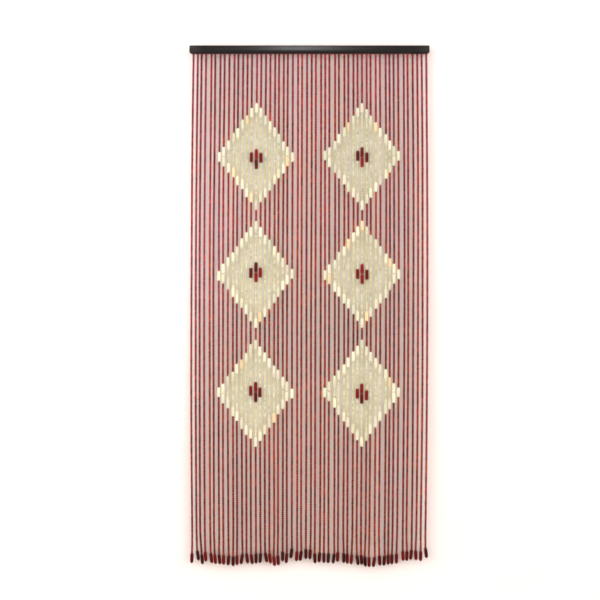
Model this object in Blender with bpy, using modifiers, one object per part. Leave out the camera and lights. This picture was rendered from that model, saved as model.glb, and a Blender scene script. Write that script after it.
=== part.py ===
"""Bead curtain with header bar.

A painted wooden bar carries 52 hanging strings of wooden beads. Long tube beads draw six diamonds,
two across and three down, and close each string at its foot.

Metres. X runs along the bar, -Y is the front, +Z is up. The origin is the middle of the bar's back face.
"""
import math
import random

import bmesh
import bpy

# Header bar
BAR_LENGTH = 0.900
BAR_DEPTH = 0.020
BAR_HEIGHT = 0.028
BAR_EDGE_RADIUS = 0.0035
BAR_EDGE_SEGMENTS = 3
SHARP_ANGLE = math.radians(40)

# Narrow strip under the bar that holds the strings' roots
CLEARANCE = 0.0003
STRIP_LENGTH = 0.888
STRIP_DEPTH = 0.0085
STRIP_HEIGHT = 0.003
STRIP_TOP = -BAR_HEIGHT / 2 - CLEARANCE

# Strings
STRAND_COUNT = 52
STRAND_SPAN = 0.873
STRAND_Y = -BAR_DEPTH / 2
STRAND_ROOT = STRIP_TOP - STRIP_HEIGHT / 2
STRAND_SIDES = 4
BEAD_RADIUS = 0.0038
TUBE_RADIUS = 0.0064
TUBE_LENGTH = 0.0370
TUBE_SHOULDER = 0.0025
TUBE_GAP = 0.0006
TIP_END_RADIUS = 0.0032
LONGEST_STRETCH = 0.240
WELD_DISTANCE = 0.00001

# Diamonds
DIAMOND_MIDDLES = (14, 37)
DIAMOND_REACH = 8
DIAMOND_ROWS = 3
DIAMOND_FIRST = 0.4005
DIAMOND_PITCH = 0.4436
DIAMOND_STEP = 0.0467

# Rise of each diamond's cross above its centre, one row for each row of diamonds
CROSS_SHIFTS = (
    {"left": -0.0100, "right": -0.0030},
    {"left": 0.0068, "right": -0.0019},
    {"left": 0.0030, "right": -0.0045},
)

# How evenly the strings hang
LAYOUT_SEED = 52
CURTAIN_DROP = 1.930
HEAD_JITTER = 0.0038
LEAST_HEAD_PITCH = 0.0142
SPREAD_MIDWAY = 0.015
LEAN_AT_FOOT = -0.0045
WANDER = 0.0007
WANDER_WAVES = 1.7
WANDER_FULL_AT = 0.2
DRIFT_FRONT = 0.0014
RUN_SLIP = 0.0070
CROSS_SLIP = 0.0030
FOOT_SWAY = 0.0030
FOOT_SWAY_START = 0.93
FOOT_TILT = math.radians(13)
FOOT_TILT_FRONT = math.radians(2.5)
FOOT_JITTER = 0.0085
LEAST_FOOT_PITCH = 0.0137
LEAN_STEPS = 6

# Finishes: base colour and roughness
PAINT = {"name": "Black painted wood", "colour": (0.035, 0.034, 0.034), "roughness": 0.42}
STAIN = {"name": "Stained wooden beads", "colour": (0.230, 0.045, 0.038), "roughness": 0.45}

# Drop of the foot beads' lower ends below the origin, along the bar from left (0) to right (1)
FOOT_DROPS = (
    {"along": 0.00, "drop": 1.917},
    {"along": 0.13, "drop": 1.934},
    {"along": 0.32, "drop": 1.931},
    {"along": 0.47, "drop": 1.913},
    {"along": 0.60, "drop": 1.926},
    {"along": 0.77, "drop": 1.936},
    {"along": 1.00, "drop": 1.914},
)


def ease(value):
    """Smooth rise from 0 to 1 as the value goes from 0 to 1."""
    value = min(max(value, 0.0), 1.0)
    return value * value * (3.0 - 2.0 * value)


def foot_drop(along):
    """Drop of a string's foot, read from the table with an eased step between its rows."""
    for left, right in zip(FOOT_DROPS, FOOT_DROPS[1:]):
        if along <= right["along"]:
            share = ease((along - left["along"]) / (right["along"] - left["along"]))
            return left["drop"] + share * (right["drop"] - left["drop"])
    return FOOT_DROPS[-1]["drop"]


def diamond_ends(offset):
    """Heights above a diamond's centre of the cream tubes that end its run on one string."""
    steps_in = DIAMOND_REACH - abs(offset)
    if steps_in == 0:
        return [0.0]
    run = 2 * TUBE_LENGTH + TUBE_GAP + (steps_in - 1) * DIAMOND_STEP
    end = (run - TUBE_LENGTH) / 2
    return [end, -end]


def diamond_cross(offset):
    """Heights above a diamond's centre of the red tubes of its cross on one string."""
    beside = (TUBE_LENGTH + TUBE_GAP) / 2
    return {0: [beside, -beside], 1: [0.0]}.get(abs(offset), [])


def tube_heights(index, slips):
    """Centres of the tube beads of one string above its foot bead, from the top down."""
    heights = []
    for side, middle in zip(("left", "right"), DIAMOND_MIDDLES):
        offset = index - middle
        if abs(offset) > DIAMOND_REACH:
            continue
        for row, slip in enumerate(slips):
            centre = -DIAMOND_FIRST - row * DIAMOND_PITCH + slip["run"]
            heights += [centre + tube for tube in diamond_ends(offset)]
            centre += CROSS_SHIFTS[row][side] + slip["cross"]
            heights += [centre + tube for tube in diamond_cross(offset)]
    return sorted(heights, reverse=True)


def lay_out_strands():
    """One record for each string, left to right: where it hangs and how it wanders."""
    rng = random.Random(LAYOUT_SEED)
    strands = []
    for index in range(STRAND_COUNT):
        along = index / (STRAND_COUNT - 1)
        slips = [{
            "run": rng.triangular(-RUN_SLIP, RUN_SLIP, 0.0),
            "cross": rng.uniform(-CROSS_SLIP, CROSS_SLIP),
        } for _ in range(DIAMOND_ROWS)]
        strands.append({
            "x": (along - 0.5) * STRAND_SPAN + rng.triangular(-HEAD_JITTER, HEAD_JITTER, 0.0),
            "wander": rng.uniform(-WANDER, WANDER),
            "phase": rng.uniform(0.0, 2.0 * math.pi),
            "front": rng.uniform(-DRIFT_FRONT, DRIFT_FRONT),
            "sway": rng.uniform(-FOOT_SWAY, FOOT_SWAY),
            "tilt": rng.triangular(-FOOT_TILT, FOOT_TILT, 0.0),
            "tilt_front": rng.uniform(-FOOT_TILT_FRONT, FOOT_TILT_FRONT),
            "foot": -foot_drop(along) + rng.uniform(-FOOT_JITTER, FOOT_JITTER),
            "tubes": tube_heights(index, slips),
        })
    keep_heads_apart(strands)
    keep_feet_apart(strands)
    return strands


def keep_heads_apart(strands):
    """Shift a string to the right where its tube beads would touch those of the one on its left."""
    for left, right in zip(strands, strands[1:]):
        right["x"] = max(right["x"], left["x"] + LEAST_HEAD_PITCH)


def foot_pitch(left, right):
    """Least distance along the bar between the foot beads of two neighbours, from their ends' heights."""
    ends = [strand["foot"] + end for strand in (left, right) for end in (0.0, TUBE_LENGTH)]
    return min(strand_point(right, z)[0] - strand_point(left, z)[0] for z in ends)


def keep_feet_apart(strands):
    """Turn a foot bead towards the lean of the one on its left, then sway its string, where it would crowd it."""
    for left, right in zip(strands, strands[1:]):
        for _ in range(LEAN_STEPS):
            if foot_pitch(left, right) < LEAST_FOOT_PITCH:
                right["tilt"] += (left["tilt"] - right["tilt"]) / LEAN_STEPS
        right["sway"] += max(LEAST_FOOT_PITCH - foot_pitch(left, right), 0.0)


def strand_point(strand, z):
    """Centre line of a string at height z, straight along its foot bead."""
    foot_top = strand["foot"] + TUBE_LENGTH
    z_on_line = max(z, foot_top)
    share = min(max(-z_on_line / CURTAIN_DROP, 0.0), 1.0)
    x = strand["x"] * (1.0 + SPREAD_MIDWAY * math.sin(math.pi * share)) + LEAN_AT_FOOT * share
    wave = math.sin(2.0 * math.pi * WANDER_WAVES * share + strand["phase"])
    x += strand["wander"] * wave * ease(share / WANDER_FULL_AT)
    x += strand["sway"] * ease((share - FOOT_SWAY_START) / (1.0 - FOOT_SWAY_START))
    y = STRAND_Y + strand["front"] * ease(share)
    below = foot_top - min(z, foot_top)
    return (x + below * math.tan(strand["tilt"]), y + below * math.tan(strand["tilt_front"]), z)


def strand_stations(strand):
    """Heights and radii along a string, from its root to its foot, thick along each tube bead."""
    half = TUBE_LENGTH / 2
    stations = [(STRAND_ROOT, BEAD_RADIUS)]
    tubes = strand["tubes"]
    for number, centre in enumerate(tubes):
        stacked_above = number > 0 and tubes[number - 1] - centre < TUBE_LENGTH + TUBE_SHOULDER
        stacked_below = number + 1 < len(tubes) and centre - tubes[number + 1] < TUBE_LENGTH + TUBE_SHOULDER
        if not stacked_above:
            stations += stretch(stations[-1][0], centre + half)
            stations.append((centre + half, BEAD_RADIUS))
            stations.append((centre + half - TUBE_SHOULDER, TUBE_RADIUS))
        if not stacked_below:
            stations.append((centre - half + TUBE_SHOULDER, TUBE_RADIUS))
            stations.append((centre - half, BEAD_RADIUS))
    foot = strand["foot"]
    stations += stretch(stations[-1][0], foot + TUBE_LENGTH)
    stations.append((foot + TUBE_LENGTH, BEAD_RADIUS))
    stations.append((foot + TUBE_LENGTH - TUBE_SHOULDER, TUBE_RADIUS))
    stations.append((foot + TUBE_SHOULDER, TUBE_RADIUS))
    stations.append((foot, TIP_END_RADIUS))
    return stations


def stretch(upper, lower):
    """Stations that split a plain stretch of small beads into lengths short enough to follow its wander."""
    pieces = math.ceil((upper - lower) / LONGEST_STRETCH)
    return [(upper + (lower - upper) * step / pieces, BEAD_RADIUS) for step in range(1, pieces)]


def principled(finish):
    """Plain Principled material for one of the named finishes."""
    material = bpy.data.materials.new(finish["name"])
    material.use_nodes = True
    shader = material.node_tree.nodes["Principled BSDF"]
    shader.inputs["Base Color"].default_value = (*finish["colour"], 1.0)
    shader.inputs["Roughness"].default_value = finish["roughness"]
    shader.inputs["Metallic"].default_value = 0.0
    material.diffuse_color = (*finish["colour"], 1.0)
    return material


def move_to(obj, collection):
    """Put the object in one collection only."""
    for owner in list(obj.users_collection):
        owner.objects.unlink(obj)
    collection.objects.link(obj)


def make_box(name, size, centre, collection):
    """Box of a given size, its scale applied."""
    bpy.ops.mesh.primitive_cube_add(size=1.0, location=centre)
    box = bpy.context.active_object
    box.name = name
    box.data.name = name
    box.scale = size
    bpy.ops.object.transform_apply(location=False, rotation=False, scale=True)
    move_to(box, collection)
    return box


def make_header_bar(collection):
    """Painted wooden bar with rounded edges."""
    bar = make_box("header_bar", (BAR_LENGTH, BAR_DEPTH, BAR_HEIGHT), (0.0, -BAR_DEPTH / 2, 0.0), collection)
    bevel = bar.modifiers.new("Rounded edges", "BEVEL")
    bevel.width = BAR_EDGE_RADIUS
    bevel.segments = BAR_EDGE_SEGMENTS
    bevel.limit_method = "ANGLE"
    bar.data.shade_smooth()
    bar.data.set_sharp_from_angle(angle=SHARP_ANGLE)
    bar.data.materials.append(principled(PAINT))
    return bar


def make_strand_bundle(strands, collection):
    """All the strings as one mesh, four sides each, made from curves with a radius at every station."""
    curve = bpy.data.curves.new("strand_curves", "CURVE")
    curve.dimensions = "3D"
    curve.bevel_depth = BEAD_RADIUS
    curve.bevel_resolution = (STRAND_SIDES - 4) // 2
    curve.use_fill_caps = True
    for strand in strands:
        stations = strand_stations(strand)
        spline = curve.splines.new("POLY")
        spline.points.add(len(stations) - 1)
        for point, (z, radius) in zip(spline.points, stations):
            point.co = (*strand_point(strand, z), 1.0)
            point.radius = radius / BEAD_RADIUS
    guide = bpy.data.objects.new("strand_curves", curve)
    collection.objects.link(guide)
    depsgraph = bpy.context.evaluated_depsgraph_get()
    mesh = bpy.data.meshes.new_from_object(guide.evaluated_get(depsgraph))
    weld_caps(mesh)
    bundle = bpy.data.objects.new("strand_bundle", mesh)
    bundle.matrix_world = guide.matrix_world
    bundle.hide_render = True
    bundle.display_type = "WIRE"
    collection.objects.link(bundle)
    bpy.data.objects.remove(guide)
    return bundle


def weld_caps(mesh):
    """Join the loose caps of the tubes to their walls."""
    work = bmesh.new()
    work.from_mesh(mesh)
    bmesh.ops.remove_doubles(work, verts=work.verts, dist=WELD_DISTANCE)
    bmesh.ops.recalc_face_normals(work, faces=work.faces)
    work.to_mesh(mesh)
    work.free()


def make_bead_strings(collection, cutters):
    """The narrow strip with every string fused to it by its root."""
    strip_centre = (0.0, STRAND_Y, STRAND_ROOT)
    strings = make_box("bead_strings", (STRIP_LENGTH, STRIP_DEPTH, STRIP_HEIGHT), strip_centre, collection)
    join = strings.modifiers.new("Strings", "BOOLEAN")
    join.operation = "UNION"
    join.solver = "EXACT"
    join.object = make_strand_bundle(lay_out_strands(), cutters)
    strings.data.materials.append(principled(STAIN))
    return strings


def build():
    """Clear the scene and model the curtain."""
    for obj in list(bpy.data.objects):
        bpy.data.objects.remove(obj)
    curtain = bpy.data.collections.new("bead_curtain_with_header_bar")
    cutters = bpy.data.collections.new("cutters")
    bpy.context.scene.collection.children.link(curtain)
    bpy.context.scene.collection.children.link(cutters)
    make_header_bar(curtain)
    make_bead_strings(curtain, cutters)


build()
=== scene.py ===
"""Looks of the bead curtain with its header bar: every bead, the thread, the painted bar, light and camera.

Metres, in the frame's axes: X along the bar, -Y the front, +Z up, origin at the middle of the bar's back.
"""
import math
import random

import bpy
import numpy as np
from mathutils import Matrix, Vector


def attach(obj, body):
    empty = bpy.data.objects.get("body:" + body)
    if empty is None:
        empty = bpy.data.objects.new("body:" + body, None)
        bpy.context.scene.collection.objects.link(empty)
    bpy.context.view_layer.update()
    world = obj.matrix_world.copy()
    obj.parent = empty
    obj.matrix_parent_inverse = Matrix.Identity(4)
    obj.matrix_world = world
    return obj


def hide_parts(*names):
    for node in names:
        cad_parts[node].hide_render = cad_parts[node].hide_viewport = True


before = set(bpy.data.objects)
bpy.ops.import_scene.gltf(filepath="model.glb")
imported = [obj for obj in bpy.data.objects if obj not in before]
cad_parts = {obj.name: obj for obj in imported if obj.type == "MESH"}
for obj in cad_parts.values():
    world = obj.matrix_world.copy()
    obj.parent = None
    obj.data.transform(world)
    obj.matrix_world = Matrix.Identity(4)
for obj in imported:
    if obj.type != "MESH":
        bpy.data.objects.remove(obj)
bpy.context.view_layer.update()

# Sizes that the strings share with their solids
BAR_DEPTH = 0.020
STRIP_TOP = -0.0143
STRIP_LENGTH = 0.888
STRIP_DEPTH = 0.0085
STRIP_HEIGHT = 0.003
STRAND_COUNT = 52
STRAND_SPAN = 0.873
STRAND_Y = -BAR_DEPTH / 2
BEAD_RADIUS = 0.0038
TUBE_RADIUS = 0.0064
TUBE_LENGTH = 0.0370
TUBE_GAP = 0.0006
DIAMOND_MIDDLES = (14, 37)
DIAMOND_REACH = 8
DIAMOND_ROWS = 3
DIAMOND_FIRST = 0.4005
DIAMOND_PITCH = 0.4436
DIAMOND_STEP = 0.0467

# Rise of each diamond's cross above its centre, one row for each row of diamonds
CROSS_SHIFTS = (
    {"left": -0.0100, "right": -0.0030},
    {"left": 0.0068, "right": -0.0019},
    {"left": 0.0030, "right": -0.0045},
)

# How evenly the strings hang, as in their solids
LAYOUT_SEED = 52
CURTAIN_DROP = 1.930
HEAD_JITTER = 0.0038
LEAST_HEAD_PITCH = 0.0142
SPREAD_MIDWAY = 0.015
LEAN_AT_FOOT = -0.0045
WANDER = 0.0007
WANDER_WAVES = 1.7
WANDER_FULL_AT = 0.2
DRIFT_FRONT = 0.0014
RUN_SLIP = 0.0070
CROSS_SLIP = 0.0030
FOOT_SWAY = 0.0030
FOOT_SWAY_START = 0.93
FOOT_TILT = math.radians(13)
FOOT_TILT_FRONT = math.radians(2.5)
FOOT_JITTER = 0.0085
LEAST_FOOT_PITCH = 0.0137
LEAN_STEPS = 6
FOOT_DROPS = (
    {"along": 0.00, "drop": 1.917},
    {"along": 0.13, "drop": 1.934},
    {"along": 0.32, "drop": 1.931},
    {"along": 0.47, "drop": 1.913},
    {"along": 0.60, "drop": 1.926},
    {"along": 0.77, "drop": 1.936},
    {"along": 1.00, "drop": 1.914},
)

# Beads
BEAD_SEED = 7
BEAD_PITCH = 0.00778
BEAD_SIDES = 8
TUBE_SIDES = 14
BEAD_SPACE = 0.0003
BEAD_WIDTH_SPREAD = 0.05
TUBE_WIDTH_SPREAD = 0.015
BEAD_TILT = math.radians(2.5)
TUBE_TILT_SHARE = 0.2
BEAD_SHIFT = 0.00015
STRINGS_PER_PIECE = 9

# Mix of the red stains: places in the palette, from 0 at its purple end to 1 at its brown end
HUE_AT_HEAD = 0.18
HUE_AT_FOOT = 0.95
HUE_LESS_AT_SIDES = 0.25
HUE_SPREAD = 0.13
HUE_DRIFT = 0.10
HUE_WAVES = 2.3
HUE_FALL_CURVE = 0.8
HUE_SIDES_CURVE = 4
STRING_HUE_SPREAD = 0.12
STRING_SHADE_SPREAD = 0.13
SHADE_DRIFT = 0.06
# Painted light and shade on the red beads: lighter at the head, darker towards the foot
PAINTED_LIGHT_AT_HEAD = 1.15
PAINTED_SHADE_AT_FOOT = 0.88
RED_BEAD_SHADES = (0.62, 1.22)
# Cream beads are painted darker at the head and lighter towards the foot
CREAM_SHADE_AT_HEAD = 0.87
CREAM_SHADE_AT_FOOT = 1.09
OTHER_BEAD_SHADES = (0.86, 1.12)

# Patches over several strings where the hue leans one way and the beads are painted lighter or darker,
# partly their own tone and partly painted light and shade: their middles and half sizes as shares of
# the curtain's width from its centre and of its drop, and by how much
PATCHES = (
    {"along": -0.40, "fall": 0.37, "wide": 0.14, "tall": 0.16, "hue": -0.24, "shade": 0.24},
    {"along": 0.12, "fall": 0.53, "wide": 0.30, "tall": 0.08, "hue": 0.10, "shade": -0.24},
    {"along": -0.05, "fall": 0.93, "wide": 0.20, "tall": 0.06, "hue": 0.05, "shade": -0.14},
    {"along": -0.42, "fall": 0.04, "wide": 0.12, "tall": 0.08, "hue": 0.00, "shade": -0.10},
    {"along": 0.05, "fall": 0.20, "wide": 0.12, "tall": 0.08, "hue": 0.10, "shade": 0.00},
    {"along": 0.46, "fall": 0.60, "wide": 0.13, "tall": 0.45, "hue": 0.02, "shade": 0.10},
)

# Half profiles of the beads, from the rim of the bore at the top to that at the bottom:
# radius as a share of the bead's, height as a share of its half length
SMALL_PROFILE = (
    {"radius": 0.52, "height": 1.00},
    {"radius": 1.04, "height": 0.70},
    {"radius": 1.17, "height": 0.00},
    {"radius": 1.04, "height": -0.70},
    {"radius": 0.52, "height": -1.00},
)
TUBE_PROFILE = (
    {"radius": 0.28, "height": 1.00},
    {"radius": 0.70, "height": 0.988},
    {"radius": 0.93, "height": 0.945},
    {"radius": 1.00, "height": 0.86},
    {"radius": 1.00, "height": -0.86},
    {"radius": 0.93, "height": -0.945},
    {"radius": 0.70, "height": -0.988},
    {"radius": 0.28, "height": -1.00},
)
FOOT_PROFILE = (
    {"radius": 0.28, "height": 1.00},
    {"radius": 0.66, "height": 0.98},
    {"radius": 0.86, "height": 0.90},
    {"radius": 0.97, "height": 0.72},
    {"radius": 1.00, "height": 0.35},
    {"radius": 1.00, "height": -0.35},
    {"radius": 0.95, "height": -0.72},
    {"radius": 0.80, "height": -0.90},
    {"radius": 0.56, "height": -0.98},
    {"radius": 0.24, "height": -1.00},
)

# Stains as they look on screen, the red ones from wine through red to brown,
# and the bare wood that shows where the beads' rims are rubbed
BARE_WOOD = (176, 128, 84)
RUBBED_FROM = 0.80
RUBBED_LIFT = 0.25
RED_STAINS = (
    (126, 38, 55), (142, 49, 64), (110, 25, 37), (149, 40, 46), (124, 27, 30), (139, 31, 22), (114, 26, 12),
    (158, 42, 10), (129, 35, 4), (107, 32, 3), (163, 53, 4), (116, 45, 2), (149, 45, 2),
)
CREAM_STAINS = (
    (205, 201, 155), (212, 210, 171), (197, 193, 147), (216, 214, 179), (207, 199, 153), (191, 189, 149),
)
CREAM_TUBE_STAINS = (
    (223, 217, 186), (217, 209, 175), (226, 221, 196), (221, 209, 182), (213, 213, 181), (224, 218, 190),
    (219, 213, 177), (225, 215, 188), (221, 217, 184), (225, 219, 189), (217, 211, 179), (231, 205, 156),
)
CROSS_STAINS = ((112, 6, 4), (92, 3, 3), (124, 10, 5), (80, 3, 2))
FOOT_STAINS = ((70, 6, 3), (88, 8, 4), (56, 11, 3), (104, 11, 5), (58, 5, 2), (78, 6, 3))

# Looks of each kind of bead: its piece and slot, and its wood's palette, grain, roughness and gloss
BEAD_LOOKS = {
    "red": {
        "piece": "red_beads", "slot": "red_beads", "wood": "red_stained_wood", "palette": RED_STAINS,
        "grain": 0.55, "roughness": 0.44, "gloss": 0.12,
    },
    "cream": {
        "piece": "cream_beads", "slot": "cream_beads", "wood": "cream_wood", "palette": CREAM_STAINS,
        "grain": 0.26, "roughness": 0.48, "gloss": 0.2,
    },
    "cream_tube": {
        "piece": "cream_tubes", "slot": "cream_beads", "wood": "cream_tube_wood",
        "palette": CREAM_TUBE_STAINS, "grain": 0.26, "roughness": 0.38, "gloss": 0.3,
    },
    "red_tube": {
        "piece": "cross_tubes", "slot": "red_beads", "wood": "cross_wood", "palette": CROSS_STAINS,
        "grain": 0.6, "roughness": 0.36, "gloss": 0.08,
    },
    "foot_tube": {
        "piece": "foot_tubes", "slot": "red_beads", "wood": "foot_wood", "palette": FOOT_STAINS,
        "grain": 0.6, "roughness": 0.38, "gloss": 0.08,
    },
}
GRAIN_SCALE = 900.0
GRAIN_STRETCH = 0.12
GRAIN_SHUFFLE = 40.0
BLOTCH_SCALE = 160.0
ROUGHNESS_SPREAD = 0.18

# Thread, its loops over the strip at the head and its knots at the foot
THREAD_RADIUS = 0.0007
THREAD_SIDES = 5
THREAD_STEP = 0.040
LOOP_THINNER = 0.8
LOOP_SINK = 0.6
LOOP_TOP = STRIP_TOP - 0.0002
KNOT_RADIUS = 0.0021
KNOT_DROP = 0.3
KNOT_SIZES = (0.85, 1.1)
KNOT_LEAN = 0.2
KNOT_FLATNESS = 0.85
KNOT_PROFILE = (
    {"radius": 0.25, "height": 1.0},
    {"radius": 0.85, "height": 0.6},
    {"radius": 1.0, "height": 0.0},
    {"radius": 0.8, "height": -0.65},
    {"radius": 0.2, "height": -1.0},
)

# Bar's paint: how much its face is crowned, how high its grain stands, its roughness and gloss, and
# how far from the middle its ends begin to be painted lighter and are full, and how far toward the lighter
# tone
BAR_CROWN = 5.0
BAR_GRAIN_HEIGHT = 0.00006
BAR_ROUGHNESS = 0.12
BAR_ROUGHNESS_SPREAD = 0.06
BAR_GLOSS = 0.23
BAR_LIGHTER_FROM = 0.39
BAR_LIGHTER_TO = 0.45
BAR_LIGHTER_BY = 0.55

# Camera and stage
PIXEL = 0.00375
IMAGE_SIDE = 600
ORIGIN_PIXEL = (309.45, 49.43)
LENS = 85.0
SENSOR = 36.0
WALL_Y = 0.012
WALL_SIDE = 4.0
WALL_TOP = 3.0
WALL_WHITE = (252, 240, 235)
FLOOR_Z = -2.10
FLOOR_REACH = 12.0
FLOOR_WHITE = (244, 242, 238)

# Surround: its strengths and tints, and the span of a direction's turn aside or back over which
# one of them blends into the next
SURROUND_FRONT = 0.875
SURROUND_SIDES = 2.87
SURROUND_BACK = 0.50
FRONT_TINT = (1.0, 0.91, 0.82, 1.0)
SIDES_TINT = (0.97, 1.0, 1.06, 1.0)
TURN_ASIDE = (0.25, 0.80)
TURN_BACK = (-0.1, 0.1)

# Soft lights: the one for the bar's sheen shows only in reflections, the others only as light on surfaces
LIGHTS = (
    {"name": "bar_sheen", "place": (-0.02, -5.2, 1.45), "target": (0.0, 0.0, 0.0),
     "size": (0.34, 2.1), "power": 28.0, "sheen": True},
    {"name": "key", "place": (-0.80, -0.75, -0.55), "target": (-0.42, 0.0, -0.68),
     "size": (0.6, 0.8), "power": 2.4, "sheen": False},
    {"name": "upper", "place": (0.0, -0.85, 0.15), "target": (0.0, 0.0, -0.25),
     "size": (1.0, 0.3), "power": 0.9, "sheen": False},
)


def ease(value):
    """Smooth rise from 0 to 1 as the value goes from 0 to 1."""
    value = min(max(value, 0.0), 1.0)
    return value * value * (3.0 - 2.0 * value)


def foot_drop(along):
    """Drop of a string's foot, read from the table with an eased step between its rows."""
    for left, right in zip(FOOT_DROPS, FOOT_DROPS[1:]):
        if along <= right["along"]:
            share = ease((along - left["along"]) / (right["along"] - left["along"]))
            return left["drop"] + share * (right["drop"] - left["drop"])
    return FOOT_DROPS[-1]["drop"]


def diamond_ends(offset):
    """Heights above a diamond's centre of the cream tubes that end its run on one string."""
    steps_in = DIAMOND_REACH - abs(offset)
    if steps_in == 0:
        return [0.0]
    run = 2 * TUBE_LENGTH + TUBE_GAP + (steps_in - 1) * DIAMOND_STEP
    end = (run - TUBE_LENGTH) / 2
    return [end, -end]


def diamond_cross(offset):
    """Heights above a diamond's centre of the red tubes of its cross on one string."""
    beside = (TUBE_LENGTH + TUBE_GAP) / 2
    return {0: [beside, -beside], 1: [0.0]}.get(abs(offset), [])


def string_tubes(index, slips):
    """Tube beads of one string above its foot bead, from the top down: height, colour and diamond row."""
    tubes = []
    for side, middle in zip(("left", "right"), DIAMOND_MIDDLES):
        offset = index - middle
        if abs(offset) > DIAMOND_REACH:
            continue
        for row, slip in enumerate(slips):
            centre = -DIAMOND_FIRST - row * DIAMOND_PITCH + slip["run"]
            for tube in diamond_ends(offset):
                tubes.append({"z": centre + tube, "kind": "cream_tube", "row": row})
            centre += CROSS_SHIFTS[row][side] + slip["cross"]
            for tube in diamond_cross(offset):
                tubes.append({"z": centre + tube, "kind": "red_tube", "row": row})
    return sorted(tubes, key=lambda tube: -tube["z"])


def lay_out_strands():
    """One record for each string, left to right, drawn in the same order as for the solids."""
    rng = random.Random(LAYOUT_SEED)
    strands = []
    for index in range(STRAND_COUNT):
        along = index / (STRAND_COUNT - 1)
        slips = [{
            "run": rng.triangular(-RUN_SLIP, RUN_SLIP, 0.0),
            "cross": rng.uniform(-CROSS_SLIP, CROSS_SLIP),
        } for _ in range(DIAMOND_ROWS)]
        strands.append({
            "x": (along - 0.5) * STRAND_SPAN + rng.triangular(-HEAD_JITTER, HEAD_JITTER, 0.0),
            "wander": rng.uniform(-WANDER, WANDER),
            "phase": rng.uniform(0.0, 2.0 * math.pi),
            "front": rng.uniform(-DRIFT_FRONT, DRIFT_FRONT),
            "sway": rng.uniform(-FOOT_SWAY, FOOT_SWAY),
            "tilt": rng.triangular(-FOOT_TILT, FOOT_TILT, 0.0),
            "tilt_front": rng.uniform(-FOOT_TILT_FRONT, FOOT_TILT_FRONT),
            "foot": -foot_drop(along) + rng.uniform(-FOOT_JITTER, FOOT_JITTER),
            "tubes": string_tubes(index, slips),
            "index": index,
        })
    keep_heads_apart(strands)
    keep_feet_apart(strands)
    return strands


def keep_heads_apart(strands):
    """Shift a string to the right where its tube beads would touch those of the one on its left."""
    for left, right in zip(strands, strands[1:]):
        right["x"] = max(right["x"], left["x"] + LEAST_HEAD_PITCH)


def foot_pitch(left, right):
    """Least distance along the bar between the foot beads of two neighbours, from their ends' heights."""
    ends = [strand["foot"] + end for strand in (left, right) for end in (0.0, TUBE_LENGTH)]
    return min(strand_point(right, z)[0] - strand_point(left, z)[0] for z in ends)


def keep_feet_apart(strands):
    """Where a foot bead would crowd the one on its left, turn it to that one's lean, then sway its string."""
    for left, right in zip(strands, strands[1:]):
        for _ in range(LEAN_STEPS):
            if foot_pitch(left, right) < LEAST_FOOT_PITCH:
                right["tilt"] += (left["tilt"] - right["tilt"]) / LEAN_STEPS
        right["sway"] += max(LEAST_FOOT_PITCH - foot_pitch(left, right), 0.0)


def strand_point(strand, z):
    """Centre line of a string at height z, straight along its foot bead."""
    foot_top = strand["foot"] + TUBE_LENGTH
    z_on_line = max(z, foot_top)
    share = min(max(-z_on_line / CURTAIN_DROP, 0.0), 1.0)
    x = strand["x"] * (1.0 + SPREAD_MIDWAY * math.sin(math.pi * share)) + LEAN_AT_FOOT * share
    wave = math.sin(2.0 * math.pi * WANDER_WAVES * share + strand["phase"])
    x += strand["wander"] * wave * ease(share / WANDER_FULL_AT)
    x += strand["sway"] * ease((share - FOOT_SWAY_START) / (1.0 - FOOT_SWAY_START))
    y = STRAND_Y + strand["front"] * ease(share)
    below = foot_top - min(z, foot_top)
    return (x + below * math.tan(strand["tilt"]), y + below * math.tan(strand["tilt_front"]), z)


def thread_beads(strand):
    """The beads of one string from the top down, each with its kind, top and bottom."""
    top = STRIP_TOP - STRIP_HEIGHT
    beads = []
    foot = {"z": strand["foot"] + TUBE_LENGTH / 2, "kind": "foot_tube", "row": None}
    inside = None
    for tube in strand["tubes"] + [foot]:
        tube_top = tube["z"] + TUBE_LENGTH / 2
        colour = "cream" if inside is not None and inside == tube["row"] else "red"
        beads += small_beads(top, tube_top, colour)
        beads.append({"kind": tube["kind"], "top": tube_top, "bottom": tube_top - TUBE_LENGTH})
        top = tube_top - TUBE_LENGTH
        inside = tube["row"]
    return beads


def small_beads(top, bottom, colour):
    """Small beads of one colour that fill a stretch, a whole number of them."""
    count = round((top - bottom) / BEAD_PITCH)
    if count < 1:
        return []
    pitch = (top - bottom) / count
    return [{"kind": colour, "top": top - n * pitch, "bottom": top - (n + 1) * pitch} for n in range(count)]


def turned_shape(profile, sides, bored=True):
    """Unit points and quads of a bead turned from its half profile, with its bore or with flat ends."""
    points = []
    for station in profile:
        for side in range(sides):
            angle = 2.0 * math.pi * side / sides
            points.append((
                station["radius"] * math.cos(angle), station["radius"] * math.sin(angle), station["height"]))
    quads = []
    for ring in range(len(profile) if bored else len(profile) - 1):
        below = (ring + 1) % len(profile)
        for side in range(sides):
            beside = (side + 1) % sides
            quads.append((
                ring * sides + side, below * sides + side, below * sides + beside, ring * sides + beside))
    if not bored:
        last = (len(profile) - 1) * sides
        for side in range(sides // 2 - 1):
            across = sides - 2 - side
            quads.append((side, side + 1, across, across + 1))
            quads.append((last + across + 1, last + across, last + side + 1, last + side))
    return np.array(points), np.array(quads)


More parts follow.
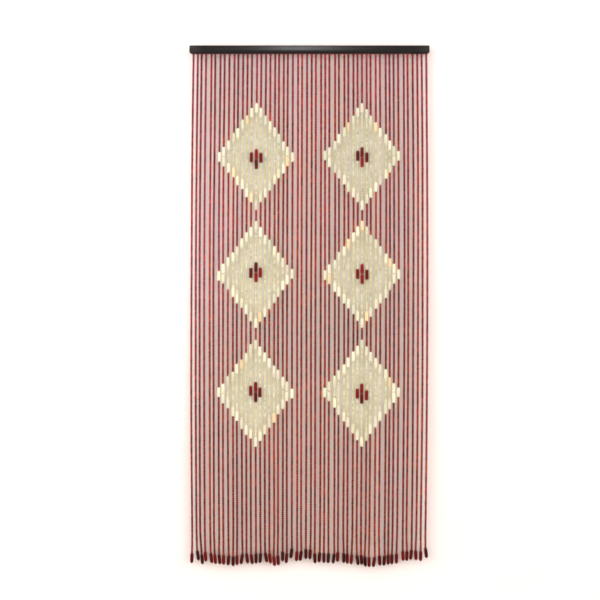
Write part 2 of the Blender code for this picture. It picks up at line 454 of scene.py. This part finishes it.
def bead_matrix(strand, bead, radius, rng):
    """Place of a bead on its string: 3 x 3 axes, scaled to its size, and its centre."""
    upper = Vector(strand_point(strand, bead["top"]))
    lower = Vector(strand_point(strand, bead["bottom"]))
    axis = (upper - lower).normalized()
    length = (upper - lower).length - BEAD_SPACE
    tilt = BEAD_TILT * (TUBE_TILT_SHARE if "tube" in bead["kind"] else 1.0)
    axis = (axis + Vector((rng.uniform(-tilt, tilt), rng.uniform(-tilt, tilt), 0.0))).normalized()
    spin = rng.uniform(0.0, 2.0 * math.pi)
    side = axis.cross(Vector((math.sin(spin), math.cos(spin), 0.0))).normalized()
    other = axis.cross(side)
    spread = TUBE_WIDTH_SPREAD if "tube" in bead["kind"] else BEAD_WIDTH_SPREAD
    width = radius * (1.0 + rng.uniform(-spread, spread))
    centre = (upper + lower) / 2
    centre += Vector((rng.uniform(-BEAD_SHIFT, BEAD_SHIFT), rng.uniform(-BEAD_SHIFT, BEAD_SHIFT), 0.0))
    axes = np.array([side * width, other * width, axis * (length / 2)])
    return axes, np.array(centre)


def joined_mesh(name, shape, places, tones):
    """One mesh of many copies of a shape; its points keep their bead's tone and how near a rim they are."""
    points, quads = shape
    count = len(places)
    all_points = np.concatenate([points @ axes + centre for axes, centre in places])
    all_quads = np.concatenate([quads + n * len(points) for n in range(count)])
    mesh = bpy.data.meshes.new(name)
    mesh.vertices.add(len(all_points))
    mesh.vertices.foreach_set("co", all_points.astype(np.float32).ravel())
    mesh.loops.add(all_quads.size)
    mesh.loops.foreach_set("vertex_index", all_quads.astype(np.int32).ravel())
    mesh.polygons.add(len(all_quads))
    mesh.polygons.foreach_set("loop_start", np.arange(0, all_quads.size, 4, dtype=np.int32))
    mesh.update(calc_edges=True)
    mesh.validate()
    mesh.shade_smooth()
    layers = {key: np.repeat([tone[key] for tone in tones], len(points)) for key in ("hue", "shade")}
    layers["rim"] = np.tile(np.abs(points[:, 2]), count)
    for key, values in layers.items():
        layer = mesh.attributes.new(key, "FLOAT", "POINT")
        layer.data.foreach_set("value", values.astype(np.float32))
    return mesh


def add_piece(name, mesh, material):
    """A piece of the curtain that stands for the strings' solids and rides on the only body."""
    piece = bpy.data.objects.new(name, mesh)
    bpy.context.scene.collection.objects.link(piece)
    mesh.materials.clear()
    mesh.materials.append(material)
    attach(piece, "root")
    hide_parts("bead_strings")


class Nodes:
    """Short hand for building one material's node tree."""

    def __init__(self, name):
        self.material = bpy.data.materials.new(name)
        self.material.use_nodes = True
        self.tree = self.material.node_tree
        self.shader = self.tree.nodes["Principled BSDF"]

    def add(self, kind, values=None, **settings):
        """A node with its settings and input values; a socket given as a value is linked."""
        node = self.tree.nodes.new(kind)
        for key, value in settings.items():
            setattr(node, key, value)
        for key, value in (values or {}).items():
            self.feed(node.inputs[key], value)
        return node

    def feed(self, socket, value):
        """Link a socket to another, or set its value."""
        if isinstance(value, bpy.types.NodeSocket):
            self.tree.links.new(value, socket)
        else:
            socket.default_value = value

    def ramp(self, factor, stops, interpolation="LINEAR"):
        """Colour ramp through stops of (place, colour)."""
        node = self.add("ShaderNodeValToRGB", {"Fac": factor})
        node.color_ramp.interpolation = interpolation
        elements = node.color_ramp.elements
        while len(elements) > 1:
            elements.remove(elements[-1])
        elements[0].position = stops[0][0]
        elements[0].color = linear(stops[0][1])
        for place, colour in stops[1:]:
            elements.new(place).color = linear(colour)
        return node.outputs["Color"]

    def attribute(self, name):
        """Number stored on the mesh."""
        return self.add("ShaderNodeAttribute", attribute_name=name).outputs["Fac"]

    def math(self, operation, a, b=0.0):
        """Sum, product or the like of two numbers."""
        return self.add("ShaderNodeMath", {0: a, 1: b}, operation=operation).outputs["Value"]

    def noise(self, vector, scale, detail=2.0, roughness=0.5):
        """Noise between 0 and 1."""
        values = {"Vector": vector, "Scale": scale, "Detail": detail, "Roughness": roughness}
        return self.add("ShaderNodeTexNoise", values).outputs["Fac"]

    def stretched(self, scale):
        """The object's own coordinates, scaled by axis."""
        coordinates = self.add("ShaderNodeTexCoord").outputs["Object"]
        return self.add("ShaderNodeMapping", {"Vector": coordinates, "Scale": scale}).outputs["Vector"]

    def mix(self, factor, a, b, blend="MIX"):
        """Mix of two colours."""
        node = self.add("ShaderNodeMix", data_type="RGBA", blend_type=blend)
        self.feed(node.inputs["Factor"], factor)
        self.feed(node.inputs[6], a)
        self.feed(node.inputs[7], b)
        return node.outputs[2]

    def bump(self, height, strength, distance):
        """Normal bent by a height."""
        values = {"Height": height, "Strength": strength, "Distance": distance}
        return self.add("ShaderNodeBump", values).outputs["Normal"]

    def set(self, **values):
        """Inputs of the Principled shader, by name with _ for a space."""
        for key, value in values.items():
            self.feed(self.shader.inputs[key.replace("_", " ")], value)
        return self.material


def linear(colour):
    """Linear RGBA of a colour given as it looks on screen, 0 to 255."""
    channels = [channel / 255 for channel in colour]
    return (*[c / 12.92 if c <= 0.04045 else ((c + 0.055) / 1.055) ** 2.4 for c in channels], 1.0)


def wood_bead_material(look):
    """Turned wood: each bead takes its own stain from the palette, over upright grain, rubbed at its rims."""
    nodes = Nodes(look["wood"])
    stops = [(n / len(look["palette"]), colour) for n, colour in enumerate(look["palette"])]
    stain = nodes.ramp(nodes.attribute("hue"), stops, "CONSTANT")
    seed = nodes.math("MULTIPLY", nodes.attribute("hue"), GRAIN_SHUFFLE)
    spread = nodes.add("ShaderNodeCombineXYZ", {"X": seed, "Y": seed}).outputs["Vector"]
    place = nodes.add(
        "ShaderNodeVectorMath", {0: nodes.stretched((1.0, 1.0, GRAIN_STRETCH)), 1: spread},
        operation="ADD").outputs[0]
    grain = nodes.noise(place, GRAIN_SCALE, 3.0, 0.6)
    blotch = nodes.noise(nodes.stretched((1.0, 1.0, 1.0)), BLOTCH_SCALE, 2.0)
    rubbed = nodes.add(
        "ShaderNodeMapRange", {"Value": nodes.attribute("rim"), "From Min": RUBBED_FROM, "From Max": 1.0},
        interpolation_type="SMOOTHSTEP").outputs["Result"]
    rubbed = nodes.math("MULTIPLY", rubbed, nodes.math("MULTIPLY", grain, RUBBED_LIFT))
    lightness = nodes.math("MULTIPLY", nodes.attribute("shade"), nodes.math(
        "ADD", nodes.math("MULTIPLY", nodes.math("SUBTRACT", grain, 0.5), look["grain"]), 1.0))
    lightness = nodes.math("MULTIPLY", lightness, nodes.math(
        "ADD", nodes.math("MULTIPLY", nodes.math("SUBTRACT", blotch, 0.5), look["grain"]), 1.0))
    tint = nodes.add("ShaderNodeCombineColor", {0: lightness, 1: lightness, 2: lightness}).outputs["Color"]
    colour = nodes.mix(1.0, stain, tint, "MULTIPLY")
    colour = nodes.mix(rubbed, colour, linear(BARE_WOOD))
    rough = nodes.math(
        "ADD", nodes.math("MULTIPLY", grain, ROUGHNESS_SPREAD), look["roughness"] - ROUGHNESS_SPREAD / 2)
    return nodes.set(
        Base_Color=colour, Roughness=rough, Specular_IOR_Level=look["gloss"],
        Normal=nodes.bump(grain, 0.35, 0.0004))


def thread_material():
    """Brown twisted thread."""
    nodes = Nodes("brown_thread")
    twist = nodes.add(
        "ShaderNodeTexWave", {"Vector": nodes.stretched((1.0, 1.0, 1.0)), "Scale": 300.0, "Distortion": 1.0},
        bands_direction="DIAGONAL").outputs["Fac"]
    colour = nodes.ramp(twist, [(0.0, (70, 34, 26)), (1.0, (124, 66, 50))])
    return nodes.set(Base_Color=colour, Roughness=0.85, Normal=nodes.bump(twist, 0.6, 0.0003))


def bar_material():
    """Black satin paint over wood, with faint grain, painted lighter and mottled towards both ends."""
    nodes = Nodes("black_paint")
    grain = nodes.noise(nodes.stretched((0.04, 1.0, 1.0)), 260.0, 4.0, 0.62)
    bar_mottle = nodes.noise(nodes.stretched((0.25, 1.0, 1.0)), 90.0, 3.0, 0.6)
    # Paint colour turns lighter and mottled towards both ends of the bar
    ends = nodes.add("ShaderNodeSeparateXYZ", {"Vector": nodes.stretched((1.0, 1.0, 1.0))}).outputs["X"]
    ends = nodes.math("ABSOLUTE", ends)
    ends = nodes.add(
        "ShaderNodeMapRange", {"Value": ends, "From Min": BAR_LIGHTER_FROM, "From Max": BAR_LIGHTER_TO},
        interpolation_type="SMOOTHSTEP").outputs["Result"]
    dark = nodes.ramp(grain, [(0.25, (12, 12, 12)), (0.75, (26, 25, 25))])
    lighter_ends_tone = nodes.ramp(bar_mottle, [(0.35, (30, 29, 29)), (0.8, (78, 74, 72))])
    colour = nodes.mix(nodes.math("MULTIPLY", ends, BAR_LIGHTER_BY), dark, lighter_ends_tone)
    rough = nodes.math("ADD", nodes.math("MULTIPLY", bar_mottle, BAR_ROUGHNESS_SPREAD), BAR_ROUGHNESS)
    up = nodes.add("ShaderNodeSeparateXYZ", {"Vector": nodes.stretched((1.0, 1.0, 1.0))}).outputs["Z"]
    crown = nodes.math("MULTIPLY", nodes.math("MULTIPLY", up, up), -BAR_CROWN)
    cushion = nodes.math("ADD", crown, nodes.math("MULTIPLY", grain, BAR_GRAIN_HEIGHT))
    return nodes.set(
        Base_Color=colour, Roughness=rough, Specular_IOR_Level=BAR_GLOSS,
        Normal=nodes.bump(cushion, 1.0, 1.0))


def strip_material():
    """Dark red-brown woven tape that holds the string ends; its dark colour also paints the shade under the
    bar.
    """
    nodes = Nodes("dark_tape_with_painted_shade")
    weave = nodes.add(
        "ShaderNodeTexWave", {"Vector": nodes.stretched((1.0, 1.0, 1.0)), "Scale": 500.0},
        bands_direction="X").outputs["Fac"]
    fray = nodes.noise(nodes.stretched((1.0, 1.0, 1.0)), 400.0, 2.0)
    # dark red-brown: the tape's own colour and painted shade under the bar
    colour = nodes.ramp(nodes.math("MULTIPLY", weave, fray), [(0.0, (46, 22, 18)), (0.8, (92, 44, 34))])
    return nodes.set(Base_Color=colour, Roughness=0.9, Normal=nodes.bump(weave, 0.5, 0.0002))


def patch(along, fall, key):
    """How far the hue leans, or how much lighter or darker the beads are painted, at a place on the curtain.
    """
    lean = 0.0
    for spot in PATCHES:
        away = ((along - spot["along"]) / spot["wide"]) ** 2 + ((fall - spot["fall"]) / spot["tall"]) ** 2
        lean += spot[key] * math.exp(-away)
    return lean


def bead_tone(strand, bead, rng):
    """Place of a bead in its palette and its lightness: by string, by slow drift down it and by chance.
    The red beads also get painted light and shade: lighter at the head, darker towards the foot.
    """
    fall = -bead["top"] / CURTAIN_DROP
    if bead["kind"] != "red":
        shade = rng.uniform(*OTHER_BEAD_SHADES)
        if "cream" in bead["kind"]:
            shade *= CREAM_SHADE_AT_HEAD + (CREAM_SHADE_AT_FOOT - CREAM_SHADE_AT_HEAD) * fall
        return {"hue": rng.random(), "shade": shade}
    along = strand["x"] / STRAND_SPAN
    drift = math.sin(2.0 * math.pi * HUE_WAVES * fall + strand["hue_phase"])
    change = HUE_AT_FOOT - HUE_AT_HEAD - HUE_LESS_AT_SIDES * (2.0 * along) ** HUE_SIDES_CURVE
    hue = HUE_AT_HEAD + change * fall ** HUE_FALL_CURVE
    hue += strand["hue"] + HUE_DRIFT * drift + patch(along, fall, "hue") + rng.gauss(0.0, HUE_SPREAD)
    shade = strand["shade"] * (1.0 + SHADE_DRIFT * drift + patch(along, fall, "shade"))
    # painted light falloff: red beads lighter at the head, darker towards the foot
    shade *= PAINTED_LIGHT_AT_HEAD + (PAINTED_SHADE_AT_FOOT - PAINTED_LIGHT_AT_HEAD) * fall
    shade *= rng.uniform(*RED_BEAD_SHADES)
    return {"hue": min(max(hue, 0.0), 0.999), "shade": shade}


def make_beads(strands):
    """All beads, joined by kind, and the small red ones by groups of neighbouring strings."""
    rng = random.Random(BEAD_SEED)
    groups = {}
    for strand in strands:
        strand["hue"] = rng.gauss(0.0, STRING_HUE_SPREAD)
        strand["hue_phase"] = rng.uniform(0.0, 2.0 * math.pi)
        strand["shade"] = 1.0 + rng.gauss(0.0, STRING_SHADE_SPREAD)
        for bead in thread_beads(strand):
            kind = bead["kind"]
            name = BEAD_LOOKS[kind]["piece"]
            if kind == "red":
                name += "_%d" % (strand["index"] // STRINGS_PER_PIECE + 1)
            group = groups.setdefault(name, {"kind": kind, "places": [], "tones": []})
            radius = TUBE_RADIUS if "tube" in kind else BEAD_RADIUS
            group["places"].append(bead_matrix(strand, bead, radius, rng))
            group["tones"].append(bead_tone(strand, bead, rng))
    small = turned_shape(SMALL_PROFILE, BEAD_SIDES, bored=False)
    tube = turned_shape(TUBE_PROFILE, TUBE_SIDES)
    foot = turned_shape(FOOT_PROFILE, TUBE_SIDES)
    shapes = {"red": small, "cream": small, "cream_tube": tube, "red_tube": tube, "foot_tube": foot}
    woods = {kind: wood_bead_material(look) for kind, look in BEAD_LOOKS.items()}
    for name, group in groups.items():
        kind = group["kind"]
        mesh = joined_mesh(name, shapes[kind], group["places"], group["tones"])
        add_piece(name, mesh, woods[kind])


def swept_tubes(name, paths, radius, sides):
    """One mesh of round threads along paths, with closed ends."""
    curve = bpy.data.curves.new(name, "CURVE")
    curve.dimensions = "3D"
    curve.bevel_depth = radius
    curve.bevel_resolution = max((sides - 4) // 2, 0)
    curve.use_fill_caps = True
    for path in paths:
        spline = curve.splines.new("POLY")
        spline.points.add(len(path) - 1)
        for point, place in zip(spline.points, path):
            point.co = (*place, 1.0)
    guide = bpy.data.objects.new(name, curve)
    bpy.context.scene.collection.objects.link(guide)
    mesh = bpy.data.meshes.new_from_object(guide.evaluated_get(bpy.context.evaluated_depsgraph_get()))
    mesh.name = name
    bpy.data.objects.remove(guide)
    mesh.shade_smooth()
    return mesh


def make_threads(strands, material):
    """Thread through each string, and the turn of it round the strip at the string's head."""
    paths = []
    for strand in strands:
        top = STRIP_TOP - STRIP_HEIGHT / 2
        steps = math.ceil((top - strand["foot"]) / THREAD_STEP)
        heights = [top + (strand["foot"] - top) * n / steps for n in range(steps + 1)]
        paths.append([strand_point(strand, z) for z in heights])
    add_piece(
        "bead_threads", swept_tubes("bead_threads", paths, THREAD_RADIUS, THREAD_SIDES), material)
    loops = []
    reach = STRIP_DEPTH / 2 + THREAD_RADIUS * LOOP_SINK
    low = STRIP_TOP - STRIP_HEIGHT - THREAD_RADIUS * LOOP_SINK
    for strand in strands:
        for beside in (-1.0, 1.0):
            x = strand["x"] + beside * THREAD_RADIUS
            loops.append([
                (x, STRAND_Y - reach, LOOP_TOP), (x, STRAND_Y - reach, low),
                (x, STRAND_Y + reach, low), (x, STRAND_Y + reach, LOOP_TOP)])
    mesh = swept_tubes("head_loops", loops, THREAD_RADIUS * LOOP_THINNER, THREAD_SIDES)
    add_piece("head_loops", mesh, material)


def make_knots(strands, material):
    """Knot under each foot bead that keeps the beads on."""
    rng = random.Random(BEAD_SEED + 1)
    places = []
    for strand in strands:
        centre = strand_point(strand, strand["foot"] - KNOT_RADIUS * KNOT_DROP)
        scale = KNOT_RADIUS * rng.uniform(*KNOT_SIZES)
        spin = rng.uniform(0.0, 2.0 * math.pi)
        side = Vector((math.cos(spin), math.sin(spin), rng.uniform(-KNOT_LEAN, KNOT_LEAN))).normalized()
        up = Vector((0.0, 0.0, 1.0))
        other = up.cross(side).normalized()
        axes = np.array([side * scale, other * scale * KNOT_FLATNESS, up * scale])
        places.append((axes, np.array(centre)))
    tones = [{"hue": 0.5, "shade": 1.0}] * len(places)
    mesh = joined_mesh("foot_knots", turned_shape(KNOT_PROFILE, BEAD_SIDES), places, tones)
    add_piece("foot_knots", mesh, material)


def make_strip():
    """Narrow tape under the bar, rounded along its edges."""
    bpy.ops.mesh.primitive_cube_add(size=1.0, location=(0.0, STRAND_Y, STRIP_TOP - STRIP_HEIGHT / 2))
    box = bpy.context.active_object
    box.scale = (STRIP_LENGTH, STRIP_DEPTH, STRIP_HEIGHT)
    bpy.ops.object.transform_apply(location=True, rotation=False, scale=True)
    bevel = box.modifiers.new("Rounded edges", "BEVEL")
    bevel.width = STRIP_HEIGHT * 0.4
    bevel.segments = 3
    mesh = bpy.data.meshes.new_from_object(box.evaluated_get(bpy.context.evaluated_depsgraph_get()))
    bpy.data.objects.remove(box)
    mesh.name = "string_strip"
    mesh.shade_smooth()
    add_piece("string_strip", mesh, strip_material())


def paint_bar():
    """The bar keeps its solid and takes the paint."""
    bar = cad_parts["header_bar"]
    material = bar_material()
    if not bar.data.materials:
        bar.data.materials.append(material)
    for slot in bar.material_slots:
        slot.material = material


def stage_material(name, colour, one_sided=False):
    """Plain matte white for the stage."""
    nodes = Nodes(name)
    mottle = nodes.noise(nodes.stretched((1.0, 1.0, 1.0)), 3.0, 2.0)
    dim = tuple(channel - 2 for channel in colour)
    tint = nodes.ramp(mottle, [(0.3, dim), (0.7, colour)])
    material = nodes.set(Base_Color=tint, Roughness=0.95, Specular_IOR_Level=0.1)
    if one_sided:
        back = nodes.add("ShaderNodeNewGeometry").outputs["Backfacing"]
        clear = nodes.add("ShaderNodeBsdfTransparent").outputs["BSDF"]
        mixed = nodes.add("ShaderNodeMixShader", {"Fac": back, 1: nodes.shader.outputs["BSDF"], 2: clear})
        nodes.feed(nodes.tree.nodes["Material Output"].inputs["Surface"], mixed.outputs["Shader"])
    return material


def make_plane(name, corners, material):
    """Flat rectangle of the stage."""
    mesh = bpy.data.meshes.new(name)
    mesh.from_pydata(corners, [], [(0, 1, 2, 3)])
    mesh.materials.append(material)
    plane = bpy.data.objects.new(name, mesh)
    bpy.context.scene.collection.objects.link(plane)
    return plane


def make_stage():
    """White wall behind the bar, seen from the front only and out of the light's way, and a pale floor."""
    corners = [
        (-WALL_SIDE, WALL_Y, FLOOR_Z), (WALL_SIDE, WALL_Y, FLOOR_Z),
        (WALL_SIDE, WALL_Y, WALL_TOP), (-WALL_SIDE, WALL_Y, WALL_TOP)]
    wall = make_plane("stage_wall", corners, stage_material("white_wall", WALL_WHITE, one_sided=True))
    wall.visible_diffuse = False
    wall.visible_glossy = False
    wall.visible_shadow = False
    corners = [
        (-FLOOR_REACH, -FLOOR_REACH, FLOOR_Z), (FLOOR_REACH, -FLOOR_REACH, FLOOR_Z),
        (FLOOR_REACH, FLOOR_REACH, FLOOR_Z), (-FLOOR_REACH, FLOOR_REACH, FLOOR_Z)]
    make_plane("stage_floor", corners, stage_material("pale_floor", FLOOR_WHITE))


def area_light(name, place, target, size, power, sheen):
    """Rectangular soft light aimed at a point, seen only in reflections or only as light on surfaces."""
    data = bpy.data.lights.new(name, "AREA")
    data.shape = "RECTANGLE"
    data.size, data.size_y = size
    data.energy = power
    light = bpy.data.objects.new(name, data)
    light.location = place
    light.visible_camera = False
    light.visible_diffuse = not sheen
    light.visible_glossy = sheen
    aim = Vector(target) - Vector(place)
    light.rotation_euler = aim.to_track_quat("-Z", "Y").to_euler()
    bpy.context.scene.collection.objects.link(light)


def make_lights():
    """Soft studio light: a white surround, brightest at the sides and dimmer behind, and the soft lights."""
    world = bpy.data.worlds.new("studio")
    world.use_nodes = True
    nodes = world.node_tree.nodes
    links = world.node_tree.links

    def blend(value, start, end, low, high):
        """Smooth change from one strength to another as a coordinate of the direction rises."""
        node = nodes.new("ShaderNodeMapRange")
        node.interpolation_type = "SMOOTHSTEP"
        settings = {"Value": value, "From Min": start, "From Max": end, "To Min": low, "To Max": high}
        for key, setting in settings.items():
            if isinstance(setting, bpy.types.NodeSocket):
                links.new(setting, node.inputs[key])
            else:
                node.inputs[key].default_value = setting
        return node.outputs["Result"]

    split = nodes.new("ShaderNodeSeparateXYZ")
    links.new(nodes.new("ShaderNodeTexCoord").outputs["Generated"], split.inputs["Vector"])
    aside = nodes.new("ShaderNodeMath")
    aside.operation = "ABSOLUTE"
    links.new(split.outputs["X"], aside.inputs[0])
    ahead = blend(aside.outputs["Value"], *TURN_ASIDE, SURROUND_FRONT, SURROUND_SIDES)
    around = blend(split.outputs["Y"], *TURN_BACK, ahead, SURROUND_BACK)
    links.new(around, nodes["Background"].inputs["Strength"])
    tint = nodes.new("ShaderNodeMix")
    tint.data_type = "RGBA"
    tint.inputs[6].default_value = FRONT_TINT
    tint.inputs[7].default_value = SIDES_TINT
    links.new(blend(aside.outputs["Value"], *TURN_ASIDE, 0.0, 1.0), tint.inputs["Factor"])
    links.new(tint.outputs[2], nodes["Background"].inputs["Color"])
    bpy.context.scene.world = world
    for light in LIGHTS:
        area_light(**light)


def make_camera():
    """Level camera square to the curtain, with the frame that the photo has."""
    width = IMAGE_SIDE * PIXEL
    data = bpy.data.cameras.new("camera")
    data.lens = LENS
    data.sensor_width = SENSOR
    camera = bpy.data.objects.new("camera", data)
    centre_x = (IMAGE_SIDE / 2 - ORIGIN_PIXEL[0]) * PIXEL
    centre_z = (ORIGIN_PIXEL[1] - IMAGE_SIDE / 2) * PIXEL
    camera.location = (centre_x, STRAND_Y - width * LENS / SENSOR, centre_z)
    camera.rotation_euler = (math.radians(90), 0.0, 0.0)
    bpy.context.scene.collection.objects.link(camera)
    bpy.context.scene.camera = camera


bpy.context.scene.view_settings.view_transform = "Standard"
make_camera()
curtain = lay_out_strands()
make_beads(curtain)
thread = thread_material()
make_threads(curtain, thread)
make_knots(curtain, thread)
make_strip()
paint_bar()
make_stage()
make_lights()
